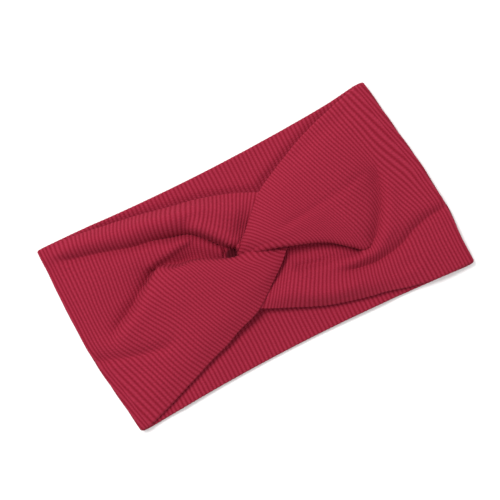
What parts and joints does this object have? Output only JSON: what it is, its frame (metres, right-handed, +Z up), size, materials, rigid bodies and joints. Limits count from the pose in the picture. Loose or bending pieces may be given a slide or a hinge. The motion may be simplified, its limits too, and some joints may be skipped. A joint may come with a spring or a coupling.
{
  "type": "sports headband",
  "caption": "Wide rib-knit headband with a twisted knot at the front, lying flat; the soft loop opens to go over the head.",
  "frame": {"origin": "on the surface that the band lies on, under the middle of the band", "axes": "+X along the band towards the end fold on the right of the knot, +Y across the band, +Z up out of the front"},
  "size_m": [0.2496, 0.1384, 0.0164],
  "materials": {
    "rib_knit": "crimson rib knit, soft and matt",
    "rib_knit_inner": "the same knit on the side worn against the head",
    "sewing_thread": "dark red spun sewing thread"
  },
  "bodies": {
    "back_centre": {"back_centre_outer_layer": "rib_knit", "back_centre_inner_layer_upper": "rib_knit_inner", "back_centre_inner_layer_lower": "rib_knit_inner", "back_centre_tube_seam": "sewing_thread"},
    "back_left": {"back_left_outer_layer": "rib_knit", "back_left_inner_layer_upper": "rib_knit_inner", "back_left_inner_layer_lower": "rib_knit_inner", "back_left_tube_seam": "sewing_thread", "left_end_fold": "rib_knit"},
    "front_left": {"left_wing_upper_arm_inner_layer": "rib_knit_inner", "left_wing_upper_arm_outer_layer": "rib_knit", "left_wing_lower_arm_inner_layer": "rib_knit_inner", "left_wing_lower_arm_outer_layer": "rib_knit"},
    "knot": {"knot_left_upper_pass": "rib_knit", "knot_right_lower_pass": "rib_knit", "knot_right_upper_pass": "rib_knit", "knot_left_lower_pass": "rib_knit", "knot_closing_seam": "rib_knit_inner", "knot_closing_thread": "sewing_thread"},
    "front_right": {"right_wing_upper_arm_inner_layer": "rib_knit_inner", "right_wing_upper_arm_outer_layer": "rib_knit", "right_wing_lower_arm_inner_layer": "rib_knit_inner", "right_wing_lower_arm_outer_layer": "rib_knit"},
    "back_right": {"back_right_outer_layer": "rib_knit", "back_right_inner_layer_upper": "rib_knit_inner", "back_right_inner_layer_lower": "rib_knit_inner", "back_right_tube_seam": "sewing_thread", "right_end_fold": "rib_knit"}
  },
  "joints": [
    {"name": "back_left_hinge", "type": "hinge", "parent": "back_centre", "child": "back_left", "pos_m": [-0.03, 0, 0.00295], "axis": [-0.0698, 0.9976, 0], "range_deg": [0, 45]},
    {"name": "left_fold_hinge", "type": "hinge", "parent": "back_left", "child": "front_left", "pos_m": [-0.1171, 0, 0.00295], "axis": [0.0698, -0.9976, 0], "range_deg": [0, 90]},
    {"name": "knot_left_hinge", "type": "hinge", "parent": "front_left", "child": "knot", "pos_m": [-0.03, 0, 0.00295], "axis": [-0.0698, 0.9976, 0], "range_deg": [0, 45]},
    {"name": "knot_right_hinge", "type": "hinge", "parent": "knot", "child": "front_right", "pos_m": [0.03, 0, 0.00295], "axis": [-0.0698, 0.9976, 0], "range_deg": [0, 45]},
    {"name": "right_fold_hinge", "type": "hinge", "parent": "front_right", "child": "back_right", "pos_m": [0.1171, 0, 0.00295], "axis": [0.0698, -0.9976, 0], "range_deg": [0, 90]}
  ],
  "couplings": [
    {"joint": "left_fold_hinge", "follows": "back_left_hinge", "ratio": 2},
    {"joint": "knot_left_hinge", "follows": "back_left_hinge", "ratio": 1},
    {"joint": "knot_right_hinge", "follows": "back_left_hinge", "ratio": 1},
    {"joint": "right_fold_hinge", "follows": "back_left_hinge", "ratio": 2}
  ]
}
